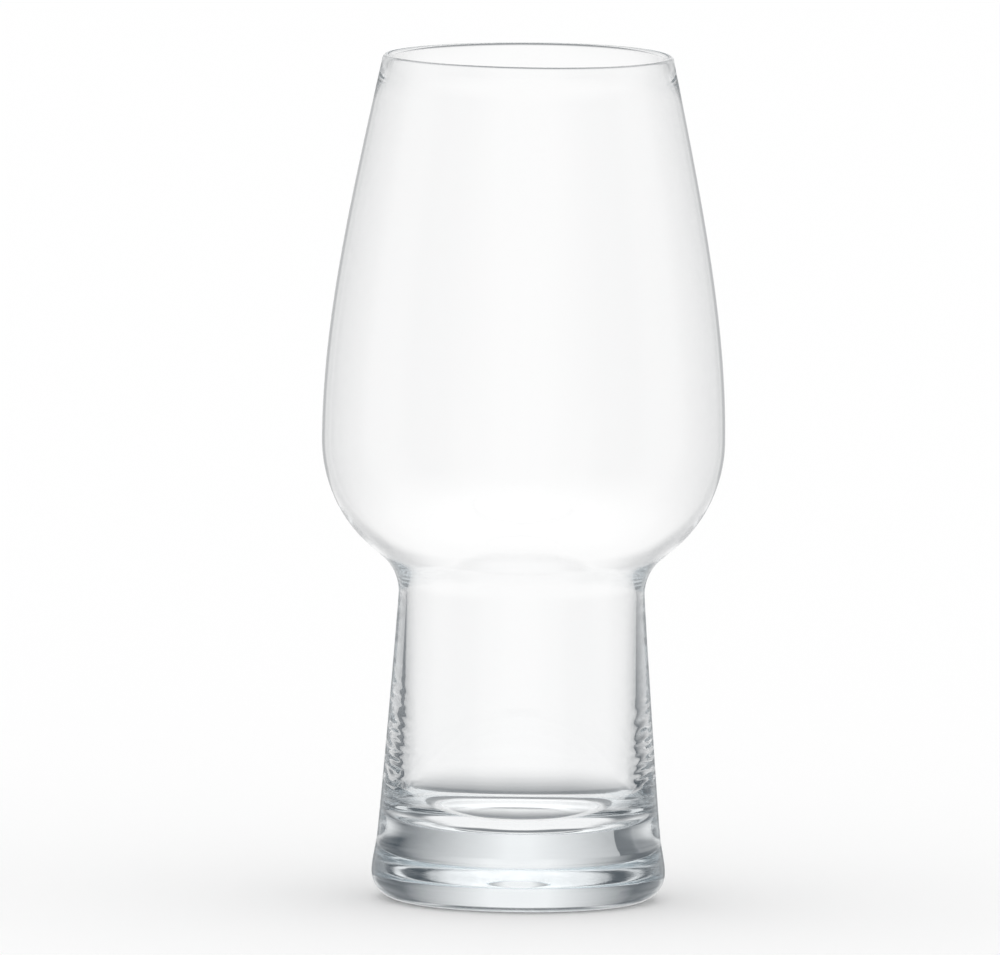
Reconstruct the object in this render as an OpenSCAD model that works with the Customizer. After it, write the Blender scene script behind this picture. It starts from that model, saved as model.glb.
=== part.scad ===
// Beer glass with a rounded bowl on a hollow stem. Three glass pieces are turned
// about the Z axis and fused hot, face to face: a thin blown bowl with a polished
// rim, a hollow stem with a thick wall and its own floor, and a solid foot.
// Z = 0 is the table that the foot's ring stands on. Lengths are in millimetres.

/* [Bowl] */
// Height of the top of the rim above the table
glass_h = 168; // [158:0.5:186]
// Outer diameter of the rim
rim_d = 57.7; // [52:0.1:66]
// Thickness of the fire-polished rim
rim_t = 1.4; // [1:0.1:2.4]
// Depth over which the rim thins down to the wall
lip_h = 9.5; // [4:0.5:14]
// Lean of the wall at the rim, in degrees from the vertical
rim_angle = 12; // [8:0.5:15]
// Outer diameter of the belly
belly_d = 80; // [72:0.5:92]
// Height of the belly above the table
belly_h = 91.5; // [84:0.5:100]
// Wall thickness from the lip to the belly
wall_t = 0.6; // [0.5:0.05:1.2]
// Outer radius of the shoulder under the belly
shoulder_r = 28; // [20:0.5:36]
// Straight slope between the shoulder and the neck
slope_l = 3; // [0:0.5:8]
// Wall thickness of that slope
slope_t = 0.7; // [0.6:0.1:3]
// Radius of the hollow neck that runs down into the stem
neck_r = 9.3; // [5:0.1:14]

/* [Stem] */
// Outer diameter of the waist, where bowl and stem are fused
waist_d = 48.8; // [44:0.2:56]
// Wall thickness at the waist
waist_t = 1.5; // [1:0.1:3]
// Outer diameter of the ankle, where stem and foot are fused
ankle_d = 56.4; // [52:0.2:62]
// Height of the ankle above the table
ankle_h = 12; // [9:0.5:13]
// Flare of the outside at the ankle, in degrees from the vertical
ankle_angle = 7; // [1:0.5:10]
// Diameter of the bore at the bottom of its straight wall
bore_d = 46.6; // [40:0.2:49]
// Height of the bore's flat floor above the table
floor_h = 14.4; // [13.5:0.1:24]
// Width of the rounded corner between floor and bore
floor_corner_w = 8; // [3:0.5:14]
// Height of that corner
floor_corner_h = 9.5; // [3:0.5:20]

/* [Foot] */
// Largest diameter of the foot
foot_d = 58.3; // [54:0.1:66]
// Radius of the foot's rounded lower edge
foot_edge_r = 5.4; // [2:0.1:7]
// Diameter of the hollow under the foot
punt_d = 42; // [20:0.5:44]
// Depth of the hollow under the foot
punt_h = 3; // [0.4:0.1:4]

/* [Hidden] */

// Clear glass, seen against white
glass_colour = [0.88, 0.93, 0.95, 0.45];

// Facets of a full turn, and steps along each curve of a profile
$fn = 128;
wall_steps = 48;
arc_steps = 16;

// Lengths of the curves' handles, as shares of the height that each curve spans
rim_handle_share = 0.4;
belly_handle_share = 0.3;
waist_handle_share = 0.03;
stem_handle_share = 0.12;
ankle_handle_share = 0.3;
foot_handle_share = 0.3;

// Share of the shoulder's turn after which its wall begins to thicken
thicken_share = 0.5;

// How late the wall swells towards the rim: 1 is a plain smooth step
lip_power = 1.5;

rim_r = rim_d / 2;
belly_r = belly_d / 2;
waist_r = waist_d / 2;
ankle_r = ankle_d / 2;
bore_r = bore_d / 2;
foot_r = foot_d / 2;
punt_r = punt_d / 2;

// Rounded rim: the middle of its bead, and where the outer wall leaves it
bead_r = rim_t / 2;
bead_c = [rim_r - bead_r, glass_h - bead_r];
rim_p = bead_c + bead_r * [cos(rim_angle), sin(rim_angle)];

// Turn of the shoulder that lets the slope touch both shoulder and neck
turn_r = shoulder_r + neck_r;
slope_angle = acos((turn_r - belly_r + waist_r) / norm([turn_r, slope_l])) - atan2(slope_l, turn_r);
shoulder_c = [belly_r - shoulder_r, belly_h];
waist_h = belly_h - turn_r * sin(slope_angle) - slope_l * cos(slope_angle);
neck_c = [waist_r + neck_r, waist_h];

// Middle of the bore's oval corner, which touches both the wall and the floor
corner_c = [bore_r - floor_corner_w, floor_h + floor_corner_h];

// Hollow under the foot, part of a large ball
punt_ball_r = (punt_r * punt_r + punt_h * punt_h) / (2 * punt_h);
punt_c = [0, punt_h - punt_ball_r];
punt_angle = asin(punt_r / punt_ball_r);

function polar(angle) = [cos(angle), sin(angle)];
function smooth(x) = let (c = min(max(x, 0), 1)) c * c * (3 - 2 * c);
function mix(a, b, x) = a + (b - a) * smooth(x);

// Points along an arc about c, both ends included
function arc(c, r, from, to, steps = arc_steps) =
  [for (i = [0 : steps]) c + r * polar(from + (to - from) * i / steps)];

// Points along the lower outer quarter of an oval about c
function oval_corner(c, w, h) =
  [for (p = arc([0, 0], 1, -90, 0)) c + [w * p.x, h * p.y]];

// Points along a curve with two handles, running down the outside
function curve(p, t) =
  pow(1 - t, 3) * p[0] + 3 * t * pow(1 - t, 2) * p[1] + 3 * t * t * (1 - t) * p[2] + pow(t, 3) * p[3];
function slope(p, t) =
  pow(1 - t, 2) * (p[1] - p[0]) + 2 * t * (1 - t) * (p[2] - p[1]) + t * t * (p[3] - p[2]);
function outward(d) = [-d.y, d.x] / norm(d);
function along(p, steps) = [for (i = [0 : steps]) curve(p, i / steps)];

// Outside of each piece, from the top down, as curves with two handles
wall_curve = let (h = rim_p.y - belly_h) [
  rim_p,
  rim_p + rim_handle_share * h * [tan(rim_angle), -1],
  [belly_r, belly_h + belly_handle_share * h],
  [belly_r, belly_h],
];
stem_curve = let (h = waist_h - ankle_h) [
  [waist_r, waist_h],
  [waist_r, waist_h - waist_handle_share * h],
  [ankle_r, ankle_h] + stem_handle_share * h * [-tan(ankle_angle), 1],
  [ankle_r, ankle_h],
];
foot_curve = let (h = ankle_h - foot_edge_r) [
  [ankle_r, ankle_h],
  [ankle_r, ankle_h] + ankle_handle_share * h * [tan(ankle_angle), -1],
  [foot_r, foot_edge_r + foot_handle_share * h],
  [foot_r, foot_edge_r],
];

// Share of the lip's depth that lies below this height, 1 at the rim
function lip_rise(z) = max(0, 1 + (z - bead_c.y) / lip_h);

// Wall of the bowl from the rim to the waist: [outer point, outward normal, thickness]
function lip_wall() = [
  for (i = [0 : wall_steps])
    let (t = i / wall_steps, p = curve(wall_curve, t))
      [p, outward(slope(wall_curve, t)), mix(wall_t, rim_t, pow(lip_rise(p.y), lip_power))]
];
function shoulder_wall() = [
  for (i = [1 : arc_steps])
    let (turn = i / arc_steps, n = polar(-slope_angle * turn))
      [shoulder_c + shoulder_r * n, n, mix(wall_t, slope_t, (turn - thicken_share) / (1 - thicken_share))]
];
function neck_wall() = [
  for (i = [0 : arc_steps])
    let (turn = 1 - i / arc_steps, n = polar(-slope_angle * turn))
      [neck_c - neck_r * n, n, mix(waist_t, slope_t, turn)]
];

// Thin bowl with its rounded rim, open below into the stem
module bowl() {
  wall = concat(lip_wall(), shoulder_wall(), neck_wall());
  outside = [for (w = wall) w[0]];
  inside = [for (i = [len(wall) - 1 : -1 : 0]) wall[i][0] - wall[i][2] * wall[i][1]];
  bead = arc(bead_c, bead_r, 180 + rim_angle, rim_angle);
  bead_top = [for (i = [1 : arc_steps - 1]) bead[i]];
  color(glass_colour) rotate_extrude() polygon(concat(outside, inside, bead_top));
}

// Hollow stem: a straight bore with a flat floor and a rounded corner, inside a flared outside
module stem() {
  outside = along(stem_curve, arc_steps);
  floor_corner = oval_corner(corner_c, floor_corner_w, floor_corner_h);
  bore_top = [waist_r - waist_t, waist_h];
  color(glass_colour) rotate_extrude()
    polygon(concat(outside, [[0, ankle_h], [0, floor_h]], floor_corner, [bore_top]));
}

// Solid foot with a rounded edge and a shallow hollow under it
module foot() {
  flare = along(foot_curve, arc_steps);
  edge = arc([foot_r - foot_edge_r, foot_edge_r], foot_edge_r, 0, -90);
  punt = arc(punt_c, punt_ball_r, 90 - punt_angle, 90);
  color(glass_colour) rotate_extrude() polygon(concat([[0, ankle_h]], flare, edge, punt));
}

bowl();
stem();
foot();
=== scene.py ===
"""Beer glass with a rounded bowl on a hollow stem: one seamless body of clear glass in a white studio.

Lengths are in metres and angles in degrees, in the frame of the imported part.
"""
import math

import bpy
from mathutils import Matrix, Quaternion, Vector, noise


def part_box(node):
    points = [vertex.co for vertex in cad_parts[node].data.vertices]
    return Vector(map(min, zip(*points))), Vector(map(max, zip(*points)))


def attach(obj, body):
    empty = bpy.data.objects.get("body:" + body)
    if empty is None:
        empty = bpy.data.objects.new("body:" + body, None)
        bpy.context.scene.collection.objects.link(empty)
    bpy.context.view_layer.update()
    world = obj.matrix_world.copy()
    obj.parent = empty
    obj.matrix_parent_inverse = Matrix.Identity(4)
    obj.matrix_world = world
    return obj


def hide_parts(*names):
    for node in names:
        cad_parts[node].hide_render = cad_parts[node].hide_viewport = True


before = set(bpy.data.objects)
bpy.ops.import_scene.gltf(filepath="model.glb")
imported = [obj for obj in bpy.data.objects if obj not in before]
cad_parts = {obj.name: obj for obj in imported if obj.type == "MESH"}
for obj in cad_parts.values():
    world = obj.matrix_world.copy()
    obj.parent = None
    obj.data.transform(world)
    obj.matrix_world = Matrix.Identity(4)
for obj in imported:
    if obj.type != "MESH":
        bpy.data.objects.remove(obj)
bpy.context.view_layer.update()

MM = 0.001

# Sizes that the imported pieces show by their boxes
GLASS_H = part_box("bowl")[1].z
BELLY_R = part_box("bowl")[1].x
WAIST_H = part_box("bowl")[0].z
ANKLE_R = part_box("stem")[1].x
ANKLE_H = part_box("stem")[0].z
FOOT_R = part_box("foot")[1].x

# Bowl
RIM_R = 28.85 * MM
RIM_T = 1.4 * MM
RIM_ANGLE = 12
LIP_H = 9.5 * MM
LIP_POWER = 1.5
BELLY_H = 91.5 * MM
WALL_T = 0.6 * MM
SHOULDER_R = 28 * MM
SLOPE_L = 3 * MM
SLOPE_T = 0.7 * MM
NECK_R = 9.3 * MM
RIM_HANDLE_SHARE = 0.4
BELLY_HANDLE_SHARE = 0.3
THICKEN_SHARE = 0.5

# Stem
WAIST_R = 24.4 * MM
WAIST_T = 1.5 * MM
ANKLE_ANGLE = 7
BORE_R = 23.3 * MM
FLOOR_H = 14.4 * MM
CORNER_W = 8 * MM
CORNER_H = 9.5 * MM
WAIST_HANDLE_SHARE = 0.03
STEM_HANDLE_SHARE = 0.12

# Foot
FOOT_EDGE_R = 5.4 * MM
PUNT_R = 21 * MM
PUNT_H = 3 * MM
ANKLE_HANDLE_SHARE = 0.3
FOOT_HANDLE_SHARE = 0.3

# Steps of a full turn, and along each stretch of the profile
TURN_STEPS = 160
BEAD_STEPS = 14
WALL_STEPS = 50
SHOULDER_STEPS = 20
NECK_STEPS = 20
BORE_STEPS = 190
CORNER_STEPS = 32
FLOOR_STEPS = 8
STEM_STEPS = 44
FLARE_STEPS = 16
EDGE_STEPS = 32
PUNT_STEPS = 14

# Waves low in the bore: how far they swell, their width and height, and where they end
WAVE_A = 0.04 * MM
WAVE_W = 6 * MM
WAVE_H = 12 * MM
WAVE_TOP = 50 * MM

# Finer waves on the left and right of the bore, from a share of its radius outward
FINE_WAVE_A = 0.22 * MM
FINE_WAVE_W = 5 * MM
FINE_WAVE_H = 1.1 * MM
FINE_WAVE_FROM_SHARE = 0.86
FINE_WAVE_RISE_SHARE = 0.1

# Faint swelling of the outside of stem and foot
SKIN_A = 0.006 * MM
SKIN_L = 9 * MM

# Sway of the rim, which rises and falls twice in a turn
SWAY_A = 0.12 * MM
SWAY_ANGLE = 60

# Clear glass, with a tint that shows where light runs a long way through it, per metre
GLASS_IOR = 1.52
TINT = (0.2, 0.4, 0.5, 1)
TINT_DENSITY = 2.8

# Striae, fine level streaks in the surface: their depth, length and height
STRIA_A = 0.003 * MM
STRIA_L = 40 * MM
STRIA_H = 1.5 * MM
STRIA_DETAIL = 2

# Fine scuffs on the lowest part of the foot
SCUFF_H = 2.6 * MM
SCUFF_L = 0.7 * MM
SCUFF_ROUGHNESS = 0.4
SCUFF_DETAIL = 4

# Camera: the photo is tilted a little, and the glass stands right of its middle
PHOTO_W_PX = 1000
AIM_RIGHT_PX = 23.05
AIM_DOWN_PX = 3.4
AIM = Vector((0, 0, 83.25 * MM))
VIEW_W = 198.2 * MM
VIEW_DISTANCE = 6.0
VIEW_ELEVATION = 5.8
VIEW_ROLL = 0.7046
SENSOR_W = 36
CLIP_END = 100

# Studio that the camera and the floor see: plain white
FLOOR_HALF_W = 7.0
FLOOR_GREY = 0.95
WORLD_STRENGTH = 1.05
BOUNCES = 400

# Surroundings that glass shows instead, painted to suit the photo. Each pair is a span in degrees of
# azimuth or height, over which a shade rises or falls. Azimuth 0 is behind the glass, and 180 is the
# camera's side. Shades are shares of slate in white, and each light share makes a shade lighter.
GLASS_WHITE = 0.985
SLATE = (0.006, 0.024, 0.04, 1)
CEILING = 1.3
CEILING_SPAN = (40, 60)

# Four windows stand a quarter turn apart, with grey sides between them
WINDOW_TURN = 90.0
SIDE_RISE = (3, 48)
SIDE_FALL = (66, 84)
SIDE_BOTTOM = (-22, -17)
SIDE_TOP = (28, 42)
LEFT_LIGHT_SHARE = 0.22
FRONT_SPAN = (85, 100)
FRONT_LIGHT_SHARE = 0.3
FRONT_BOTTOM_RISE = 17.0

# Darker panel on the left, for the sharp left edge of the tone in the foot
PANEL_RISE = (32.5, 34)
PANEL_SHADE = 0.9
PANEL_FALL = (42, 54)
PANEL_LIGHT_SHARE = 0.5

# Sides above the horizon
HORIZON = (-2, 2)
HIGH_RISE = (8, 42)
HIGH_SHADE = 0.93
HIGH_FALL = (130, 165)
HIGH_LIGHT_SHARE = 0.8

# Sides for light that did not go through solid glass alone
HOLLOW_RISE = (8, 26)
HOLLOW_SHADE = 0.22
HOLLOW_FALL = (90, 130)
HOLLOW_LIGHT_SHARE = 0.6

# Sides for light reflected in solid glass, with lamps for light reflected twice or more
INNER_RISE = (16, 50)
INNER_FALL = (130, 155)
INNER_LIGHT_SHARE = 0.8
INNER_BOTTOM = (-45, -12)
LAMP_SPAN = (79, 83)
LAMP_HEIGHT = (3, 8)

# Dark frame of the window behind the glass, which draws the bowl's edge
FRAME_RISE = (3, 8)
FRAME_SHADE = 0.5
FRAME_FALL = (16, 26)
FRAME_BOTTOM = (-12, -9)

# Shade towards the floor below that window, by the angle below the horizon
LOW_RISE = (14, 40)
LOW_SHADE = 0.85
LOW_FALL = (54, 66)
LOW_SIDE = (22, 40)
LOW_END = (100, 120)


def polar(angle):
    """Unit vector in the profile's plane, at this angle above the radius."""
    return Vector((math.cos(math.radians(angle)), math.sin(math.radians(angle))))


def lean(angle):
    """Step down the outside of the glass that leans outward by this angle from the vertical."""
    return Vector((math.tan(math.radians(angle)), -1))


def smooth(x):
    """Smooth step from 0 to 1."""
    x = min(max(x, 0.0), 1.0)
    return x * x * (3 - 2 * x)


def mix(a, b, x):
    """From a to b by a smooth step."""
    return a + (b - a) * smooth(x)


def shares(steps):
    """0 to 1 in that many steps, both ends included."""
    return [i / steps for i in range(steps + 1)]


def arc(centre, radius, start, end, steps):
    """Points along an arc, both ends included."""
    return [centre + radius * polar(start + (end - start) * t) for t in shares(steps)]


def curve(p, t):
    """Point on a curve with two handles."""
    u = 1 - t
    return p[0] * u**3 + p[1] * (3 * t * u * u) + p[2] * (3 * t * t * u) + p[3] * t**3


def outward(p, t):
    """Unit normal of that curve on its outer side, for a curve that runs down the outside."""
    u = 1 - t
    d = (p[1] - p[0]) * (u * u) + (p[2] - p[1]) * (2 * t * u) + (p[3] - p[2]) * (t * t)
    return Vector((-d.y, d.x)).normalized()


def lip_rise(z):
    """Share of the lip's depth that lies below this height, 1 at the rim."""
    return max(0, 1 + (z - GLASS_H + RIM_T / 2) / LIP_H)


def bowl_wall(bead_c):
    """Outer point, outward normal and thickness down the bowl, from the rim to the waist."""
    rim = bead_c + RIM_T / 2 * polar(RIM_ANGLE)
    h = rim.y - BELLY_H
    wall_curve = [
        rim,
        rim + lean(RIM_ANGLE) * (RIM_HANDLE_SHARE * h),
        Vector((BELLY_R, BELLY_H + BELLY_HANDLE_SHARE * h)),
        Vector((BELLY_R, BELLY_H)),
    ]
    turn_r = SHOULDER_R + NECK_R
    reach = (turn_r - BELLY_R + WAIST_R) / math.hypot(turn_r, SLOPE_L)
    slope_angle = math.degrees(math.acos(reach) - math.atan2(SLOPE_L, turn_r))
    shoulder_c = Vector((BELLY_R - SHOULDER_R, BELLY_H))
    neck_c = Vector((WAIST_R + NECK_R, WAIST_H))
    wall = []
    for t in shares(WALL_STEPS):
        p = curve(wall_curve, t)
        wall.append((p, outward(wall_curve, t), mix(WALL_T, RIM_T, lip_rise(p.y) ** LIP_POWER)))
    for t in shares(SHOULDER_STEPS)[1:]:
        n = polar(-slope_angle * t)
        thick = mix(WALL_T, SLOPE_T, (t - THICKEN_SHARE) / (1 - THICKEN_SHARE))
        wall.append((shoulder_c + SHOULDER_R * n, n, thick))
    for t in shares(NECK_STEPS):
        n = polar(-slope_angle * (1 - t))
        wall.append((neck_c - NECK_R * n, n, mix(WAIST_T, SLOPE_T, 1 - t)))
    return wall


def bore():
    """Inside of the stem, from the floor's middle round its oval corner and up to the waist."""
    corner_c = Vector((BORE_R - CORNER_W, FLOOR_H + CORNER_H))
    corner = []
    for p in arc(Vector((0, 0)), 1, -90, 0, CORNER_STEPS):
        corner.append(corner_c + Vector((CORNER_W * p.x, CORNER_H * p.y)))
    top = Vector((WAIST_R - WAIST_T, WAIST_H))
    points = [Vector((corner_c.x * t, FLOOR_H)) for t in shares(FLOOR_STEPS)[:-1]]
    points += corner
    points += [corner[-1].lerp(top, t) for t in shares(BORE_STEPS)[1:-1]]
    return points


def stem_and_foot():
    """Outside from just under the waist, round the foot's edge to the middle of its underside."""
    ankle = Vector((ANKLE_R, ANKLE_H))
    edge_top = Vector((FOOT_R, FOOT_EDGE_R))
    stem_h, foot_h = WAIST_H - ANKLE_H, ANKLE_H - FOOT_EDGE_R
    stem_curve = [
        Vector((WAIST_R, WAIST_H)),
        Vector((WAIST_R, WAIST_H - WAIST_HANDLE_SHARE * stem_h)),
        ankle - lean(ANKLE_ANGLE) * (STEM_HANDLE_SHARE * stem_h),
        ankle,
    ]
    foot_curve = [
        ankle,
        ankle + lean(ANKLE_ANGLE) * (ANKLE_HANDLE_SHARE * foot_h),
        edge_top + Vector((0, FOOT_HANDLE_SHARE * foot_h)),
        edge_top,
    ]
    points = [curve(stem_curve, t) for t in shares(STEM_STEPS)[1:]]
    points += [curve(foot_curve, t) for t in shares(FLARE_STEPS)[1:]]
    points += arc(Vector((FOOT_R - FOOT_EDGE_R, FOOT_EDGE_R)), FOOT_EDGE_R, 0, -90, EDGE_STEPS)[1:]
    ball_r = (PUNT_R**2 + PUNT_H**2) / (2 * PUNT_H)
    punt_angle = math.degrees(math.asin(PUNT_R / ball_r))
    points += arc(Vector((0, PUNT_H - ball_r)), ball_r, 90 - punt_angle, 90, PUNT_STEPS)
    return points


def glass_profile():
    """Outline in radius and height: the inside from the floor up, and the outside from the rim down."""
    bead_c = Vector((RIM_R - RIM_T / 2, GLASS_H - RIM_T / 2))
    wall = bowl_wall(bead_c)
    inside = bore() + [p - n * thick for p, n, thick in reversed(wall)]
    bead = arc(bead_c, RIM_T / 2, 180 + RIM_ANGLE, RIM_ANGLE, BEAD_STEPS)[1:-1]
    return inside, bead + [p for p, n, thick in wall] + stem_and_foot()


def wave(x, y, z, width, height):
    """Smooth random swelling from -1 to 1 in lumps of this width and height."""
    return noise.noise(Vector((x / width, y / width, z / height)))


def bore_ripple(x, y, z):
    """Swelling of the inner surface, low in the bore."""
    low = smooth((WAVE_TOP - z) / (WAVE_TOP - FLOOR_H)) * smooth((z - FLOOR_H) / CORNER_H)
    beside = smooth((abs(x) / BORE_R - FINE_WAVE_FROM_SHARE) / FINE_WAVE_RISE_SHARE)
    waves = WAVE_A * wave(x, y, z, WAVE_W, WAVE_H)
    waves += FINE_WAVE_A * beside * wave(x, y, z, FINE_WAVE_W, FINE_WAVE_H)
    return low * waves


def skin_ripple(x, y, z):
    """Swelling of the outer surface of the stem and foot."""
    skin = smooth((WAIST_H - z) / WAIST_H) * smooth(z / FOOT_EDGE_R)
    return SKIN_A * skin * wave(x, y, z, SKIN_L, SKIN_L)


def turned(name, inside, outside):
    """Closed mesh of that outline turned about Z. Its first and last points lie on the axis."""
    rings = [(p, bore_ripple) for p in inside[1:]] + [(p, skin_ripple) for p in outside[:-1]]
    verts = [(0, 0, inside[0].y)]
    for p, ripple in rings:
        for k in range(TURN_STEPS):
            a = 2 * math.pi * k / TURN_STEPS
            x, y = p.x * math.cos(a), p.x * math.sin(a)
            grow = 1 + ripple(x, y, p.y) / p.x
            sway = SWAY_A * smooth(lip_rise(p.y)) * math.cos(2 * (a - math.radians(SWAY_ANGLE)))
            verts.append((x * grow, y * grow, p.y + sway))
    verts.append((0, 0, outside[-1].y))
    last = len(verts) - 1
    start = [1 + i * TURN_STEPS for i in range(len(rings))]
    faces, places = [], []
    for k in range(TURN_STEPS):
        n = (k + 1) % TURN_STEPS
        faces.append((0, start[0] + k, start[0] + n))
        places += [(k, 0), (k, 1), (k + 1, 1)]
        for i, (a, b) in enumerate(zip(start, start[1:]), 1):
            faces.append((a + n, a + k, b + k, b + n))
            places += [(k + 1, i), (k, i), (k, i + 1), (k + 1, i + 1)]
        faces.append((last, start[-1] + n, start[-1] + k))
        places += [(k, len(rings) + 1), (k + 1, len(rings)), (k, len(rings))]
    mesh = bpy.data.meshes.new(name)
    mesh.from_pydata(verts, [], faces)
    mesh.polygons.foreach_set("use_smooth", [True] * len(mesh.polygons))
    flat = mesh.uv_layers.new(name="OFBake")
    for loop, (k, i) in zip(flat.data, places):
        loop.uv = (k / TURN_STEPS, i / (len(rings) + 1))
    mesh.update()
    piece = bpy.data.objects.new(name, mesh)
    bpy.context.scene.collection.objects.link(piece)
    return piece


def clear_glass():
    """Clear glass with faint striae, and fine scuffs where it stands."""
    mat = bpy.data.materials.new("clear_glass")
    mat.use_nodes = True
    tree = mat.node_tree
    shader = tree.nodes["Principled BSDF"]
    shader.inputs["Base Color"].default_value = (1, 1, 1, 1)
    shader.inputs["Transmission Weight"].default_value = 1
    shader.inputs["IOR"].default_value = GLASS_IOR

    place = tree.nodes.new("ShaderNodeTexCoord").outputs["Object"]

    def cloud(lump, detail):
        """Noise whose lumps have this width, depth and height."""
        stretch = tree.nodes.new("ShaderNodeMapping")
        stretch.inputs["Scale"].default_value = [1 / size for size in lump]
        tree.links.new(place, stretch.inputs["Vector"])
        texture = tree.nodes.new("ShaderNodeTexNoise")
        texture.inputs["Scale"].default_value = 1
        texture.inputs["Detail"].default_value = detail
        tree.links.new(stretch.outputs[0], texture.inputs["Vector"])
        return texture.outputs["Fac"]

    striae = tree.nodes.new("ShaderNodeBump")
    striae.inputs["Distance"].default_value = STRIA_A
    tree.links.new(cloud((STRIA_L, STRIA_L, STRIA_H), STRIA_DETAIL), striae.inputs["Height"])
    tree.links.new(striae.outputs[0], shader.inputs["Normal"])

    split = tree.nodes.new("ShaderNodeSeparateXYZ")
    tree.links.new(place, split.inputs[0])
    worn = tree.nodes.new("ShaderNodeMapRange")
    worn.interpolation_type = "SMOOTHSTEP"
    tree.links.new(split.outputs["Z"], worn.inputs["Value"])
    worn.inputs["From Max"].default_value = SCUFF_H
    worn.inputs["To Min"].default_value = SCUFF_ROUGHNESS
    worn.inputs["To Max"].default_value = 0
    scuffs = tree.nodes.new("ShaderNodeMath")
    scuffs.operation = "MULTIPLY"
    tree.links.new(worn.outputs[0], scuffs.inputs[0])
    tree.links.new(cloud((SCUFF_L, SCUFF_L, SCUFF_L), SCUFF_DETAIL), scuffs.inputs[1])
    tree.links.new(scuffs.outputs[0], shader.inputs["Roughness"])

    tint = tree.nodes.new("ShaderNodeVolumeAbsorption")
    tint.inputs["Color"].default_value = TINT
    tint.inputs["Density"].default_value = TINT_DENSITY
    tree.links.new(tint.outputs[0], tree.nodes["Material Output"].inputs["Volume"])
    return mat


def camera():
    """Camera that sees the glass as the photo does."""
    data = bpy.data.cameras.new("camera")
    data.sensor_width = SENSOR_W
    data.lens = SENSOR_W * VIEW_DISTANCE / VIEW_W
    data.clip_end = CLIP_END
    cam = bpy.data.objects.new("camera", data)
    bpy.context.scene.collection.objects.link(cam)
    e = math.radians(VIEW_ELEVATION)
    back = Vector((0, -math.cos(e), math.sin(e)))
    turn = (-back).to_track_quat("-Z", "Y") @ Quaternion((0, 0, 1), math.radians(VIEW_ROLL))
    shift = Vector((AIM_RIGHT_PX, -AIM_DOWN_PX, 0)) * (VIEW_W / PHOTO_W_PX)
    cam.rotation_mode = "QUATERNION"
    cam.rotation_quaternion = turn
    cam.location = AIM + back * VIEW_DISTANCE - turn @ shift
    bpy.context.scene.camera = cam


def studio_floor():
    """White floor that takes the glass's shadow. Glass shows the world below it instead."""
    s = FLOOR_HALF_W
    mesh = bpy.data.meshes.new("floor")
    mesh.from_pydata([(-s, -s, 0), (s, -s, 0), (s, s, 0), (-s, s, 0)], [], [(0, 1, 2, 3)])
    mat = bpy.data.materials.new("floor")
    mat.use_nodes = True
    shader = mat.node_tree.nodes["Principled BSDF"]
    shader.inputs["Base Color"].default_value = (FLOOR_GREY, FLOOR_GREY, FLOOR_GREY, 1)
    shader.inputs["Roughness"].default_value = 1
    shader.inputs["Specular IOR Level"].default_value = 0
    mesh.materials.append(mat)
    floor = bpy.data.objects.new("floor", mesh)
    bpy.context.scene.collection.objects.link(floor)
    floor.visible_transmission = False
    floor.visible_glossy = False


class Nodes:
    """Adds nodes to a tree. A call takes numbers or other nodes' outputs and returns an output."""

    def __init__(self, tree):
        self.tree = tree

    def put(self, v, socket):
        """Set a socket to a number or colour, or link an output to it."""
        if isinstance(v, (int, float, tuple)):
            socket.default_value = v
        else:
            self.tree.links.new(v, socket)

    def calc(self, operation, *values):
        """One step of arithmetic."""
        node = self.tree.nodes.new("ShaderNodeMath")
        node.operation = operation
        for v, socket in zip(values, node.inputs):
            self.put(v, socket)
        return node.outputs[0]

    def times(self, first, *others):
        """Product of all values."""
        for v in others:
            first = self.calc("MULTIPLY", first, v)
        return first

    def minus(self, v):
        """What v leaves of 1."""
        return self.calc("SUBTRACT", 1.0, v)

    def ramp(self, v, span, top=1.0, kind="SMOOTHSTEP"):
        """0 up to the start of this span of v, then up to the top at its end."""
        node = self.tree.nodes.new("ShaderNodeMapRange")
        node.interpolation_type = kind
        self.put(v, node.inputs["Value"])
        node.inputs["From Min"].default_value = span[0]
        node.inputs["From Max"].default_value = span[1]
        node.inputs["To Max"].default_value = top
        return node.outputs[0]

    def fade(self, v, span, share=1.0):
        """1 up to the start of this span of v, then down by this share at its end."""
        return self.minus(self.ramp(v, span, share))

    def mixed(self, share, a, b):
        """Number between a and b."""
        node = self.tree.nodes.new("ShaderNodeMix")
        self.put(share, node.inputs[0])
        self.put(a, node.inputs[2])
        self.put(b, node.inputs[3])
        return node.outputs[0]

    def blend(self, share, a, b):
        """Colour between a and b."""
        node = self.tree.nodes.new("ShaderNodeMix")
        node.data_type = "RGBA"
        self.put(share, node.inputs[0])
        self.put(a, node.inputs[6])
        self.put(b, node.inputs[7])
        return node.outputs[2]


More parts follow.
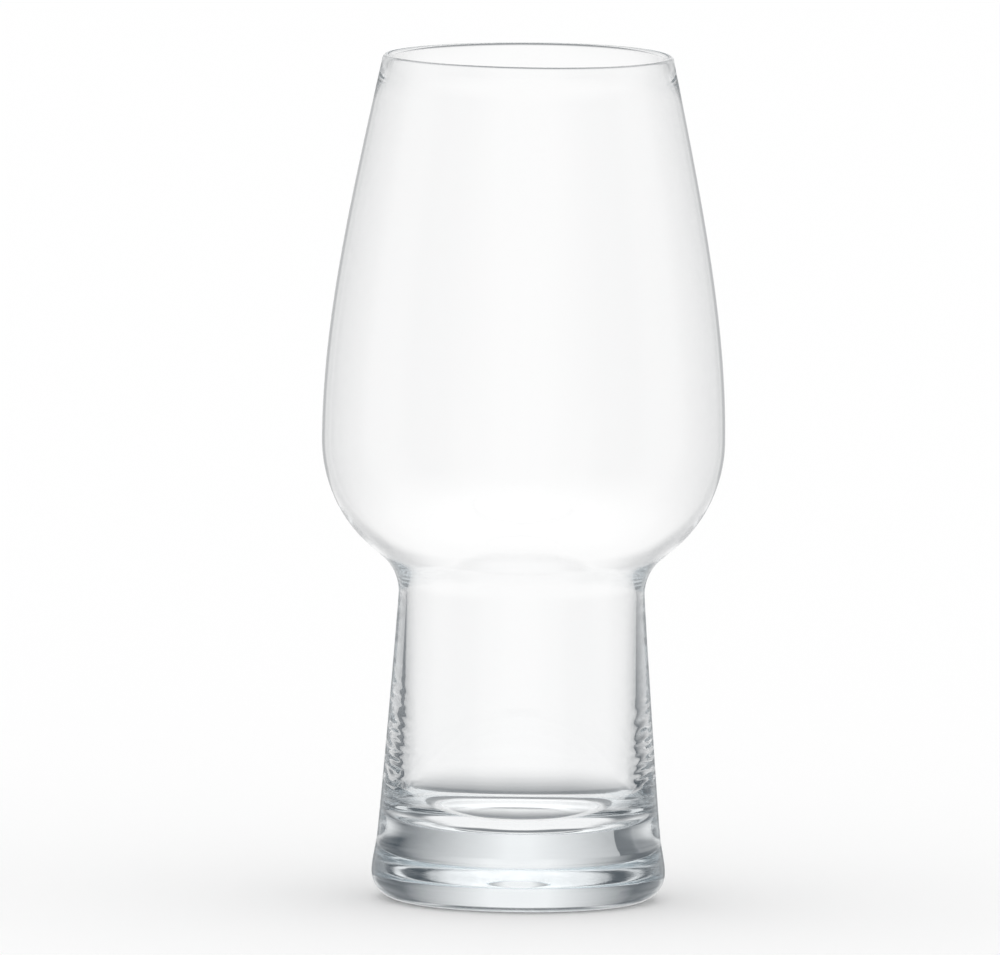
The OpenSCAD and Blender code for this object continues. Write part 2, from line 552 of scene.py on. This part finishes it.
def surroundings(n, paths):
    """Colour that glass shows in each direction, for the way that the light took.

    Light that crossed two surfaces went through solid glass alone, and finds darker sides than light
    through the hollow. No real room does that. It gives foot and bowl the tones they have in the photo.
    """
    split = n.tree.nodes.new("ShaderNodeSeparateXYZ")
    n.put(n.tree.nodes.new("ShaderNodeTexCoord").outputs["Generated"], split.inputs[0])
    x, y, z = split.outputs
    azimuth = n.calc("DEGREES", n.calc("ARCTAN2", x, y))
    height = n.calc("DEGREES", n.calc("ARCSINE", z))
    away = n.calc("ABSOLUTE", azimuth)
    left = n.calc("MULTIPLY", azimuth, -1.0)
    below = n.calc("MULTIPLY", height, -1.0)
    fold = n.calc("PINGPONG", azimuth, WINDOW_TURN)
    front = n.ramp(away, FRONT_SPAN)

    # Through solid glass
    on_left = n.times(n.calc("GREATER_THAN", left, 0.0), n.calc("LESS_THAN", left, WINDOW_TURN))
    side = n.times(n.ramp(fold, SIDE_RISE, kind="LINEAR"), n.fade(fold, SIDE_FALL))
    side = n.times(side, n.minus(n.times(on_left, LEFT_LIGHT_SHARE)))
    side = n.times(side, n.minus(n.times(front, FRONT_LIGHT_SHARE)))
    panel = n.times(n.ramp(left, PANEL_RISE, PANEL_SHADE), n.fade(left, PANEL_FALL, PANEL_LIGHT_SHARE))
    panel = n.times(panel, n.fade(left, SIDE_FALL))
    high = n.ramp(away, HIGH_RISE, HIGH_SHADE, "LINEAR")
    high = n.times(high, n.fade(away, HIGH_FALL, HIGH_LIGHT_SHARE), n.fade(fold, SIDE_FALL))
    solid_side = n.mixed(n.ramp(height, HORIZON), n.calc("MAXIMUM", side, panel), high)

    # Through solid glass, and reflected in it
    lamp = n.times(n.ramp(fold, LAMP_SPAN), n.ramp(height, LAMP_HEIGHT))
    lamp = n.times(lamp, n.calc("GREATER_THAN", paths["Glossy Depth"], 1.5))
    inner = n.times(n.ramp(away, INNER_RISE), n.fade(away, INNER_FALL, INNER_LIGHT_SHARE))
    inner_side = n.times(n.calc("MAXIMUM", solid_side, inner), n.minus(lamp))

    # Through the hollow, or not into the glass
    window = n.calc("PINGPONG", azimuth, WINDOW_TURN / 2)
    hollow_side = n.ramp(window, HOLLOW_RISE, HOLLOW_SHADE)
    hollow_side = n.times(hollow_side, n.fade(away, HOLLOW_FALL, HOLLOW_LIGHT_SHARE))

    reflected = n.calc("MINIMUM", paths["Glossy Depth"], 1.0)
    solid = n.calc("COMPARE", paths["Transmission Depth"], 2.0, 0.5)
    side = n.mixed(solid, hollow_side, n.mixed(reflected, solid_side, inner_side))

    # Reflected light shows the window's frame, and sides that reach further down
    window_frame = n.times(n.ramp(away, FRAME_RISE, FRAME_SHADE), n.fade(away, FRAME_FALL))
    window_frame = n.times(window_frame, n.ramp(height, FRAME_BOTTOM))
    side = n.calc("MAXIMUM", side, n.times(reflected, window_frame))
    raised = n.calc("SUBTRACT", height, n.times(front, FRONT_BOTTOM_RISE))
    side = n.times(side, n.mixed(reflected, n.ramp(raised, SIDE_BOTTOM), n.ramp(height, INNER_BOTTOM)))
    side = n.times(side, n.fade(height, SIDE_TOP))

    low = n.times(n.ramp(below, LOW_RISE, LOW_SHADE), n.fade(below, LOW_FALL))
    low = n.times(low, n.fade(fold, LOW_SIDE), n.fade(away, LOW_END))
    grey = n.minus(n.times(n.minus(side), n.minus(low)))
    bright = n.times(GLASS_WHITE, n.mixed(n.ramp(height, CEILING_SPAN), 1.0, CEILING))
    return n.blend(grey, bright, SLATE)


def studio_world():
    """Plain white for the camera and the floor, and the painted surroundings for glass."""
    world = bpy.data.worlds.new("studio")
    bpy.context.scene.world = world
    world.use_nodes = True
    tree = world.node_tree
    tree.nodes.clear()
    n = Nodes(tree)
    paths = tree.nodes.new("ShaderNodeLightPath").outputs
    glassy = n.calc("MAXIMUM", paths["Is Glossy Ray"], paths["Is Transmission Ray"])
    white = (WORLD_STRENGTH, WORLD_STRENGTH, WORLD_STRENGTH, 1)
    background = tree.nodes.new("ShaderNodeBackground")
    n.put(n.blend(glassy, white, surroundings(n, paths)), background.inputs["Color"])
    out = tree.nodes.new("ShaderNodeOutputWorld")
    n.put(background.outputs[0], out.inputs["Surface"])


glass = turned("glass", *glass_profile())
glass.data.materials.append(clear_glass())
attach(glass, "root")
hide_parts("bowl", "stem", "foot")

camera()
studio_floor()
studio_world()

scene = bpy.context.scene
scene.view_settings.view_transform = "Standard"
scene.cycles.max_bounces = BOUNCES
scene.cycles.transmission_bounces = BOUNCES
scene.cycles.glossy_bounces = BOUNCES
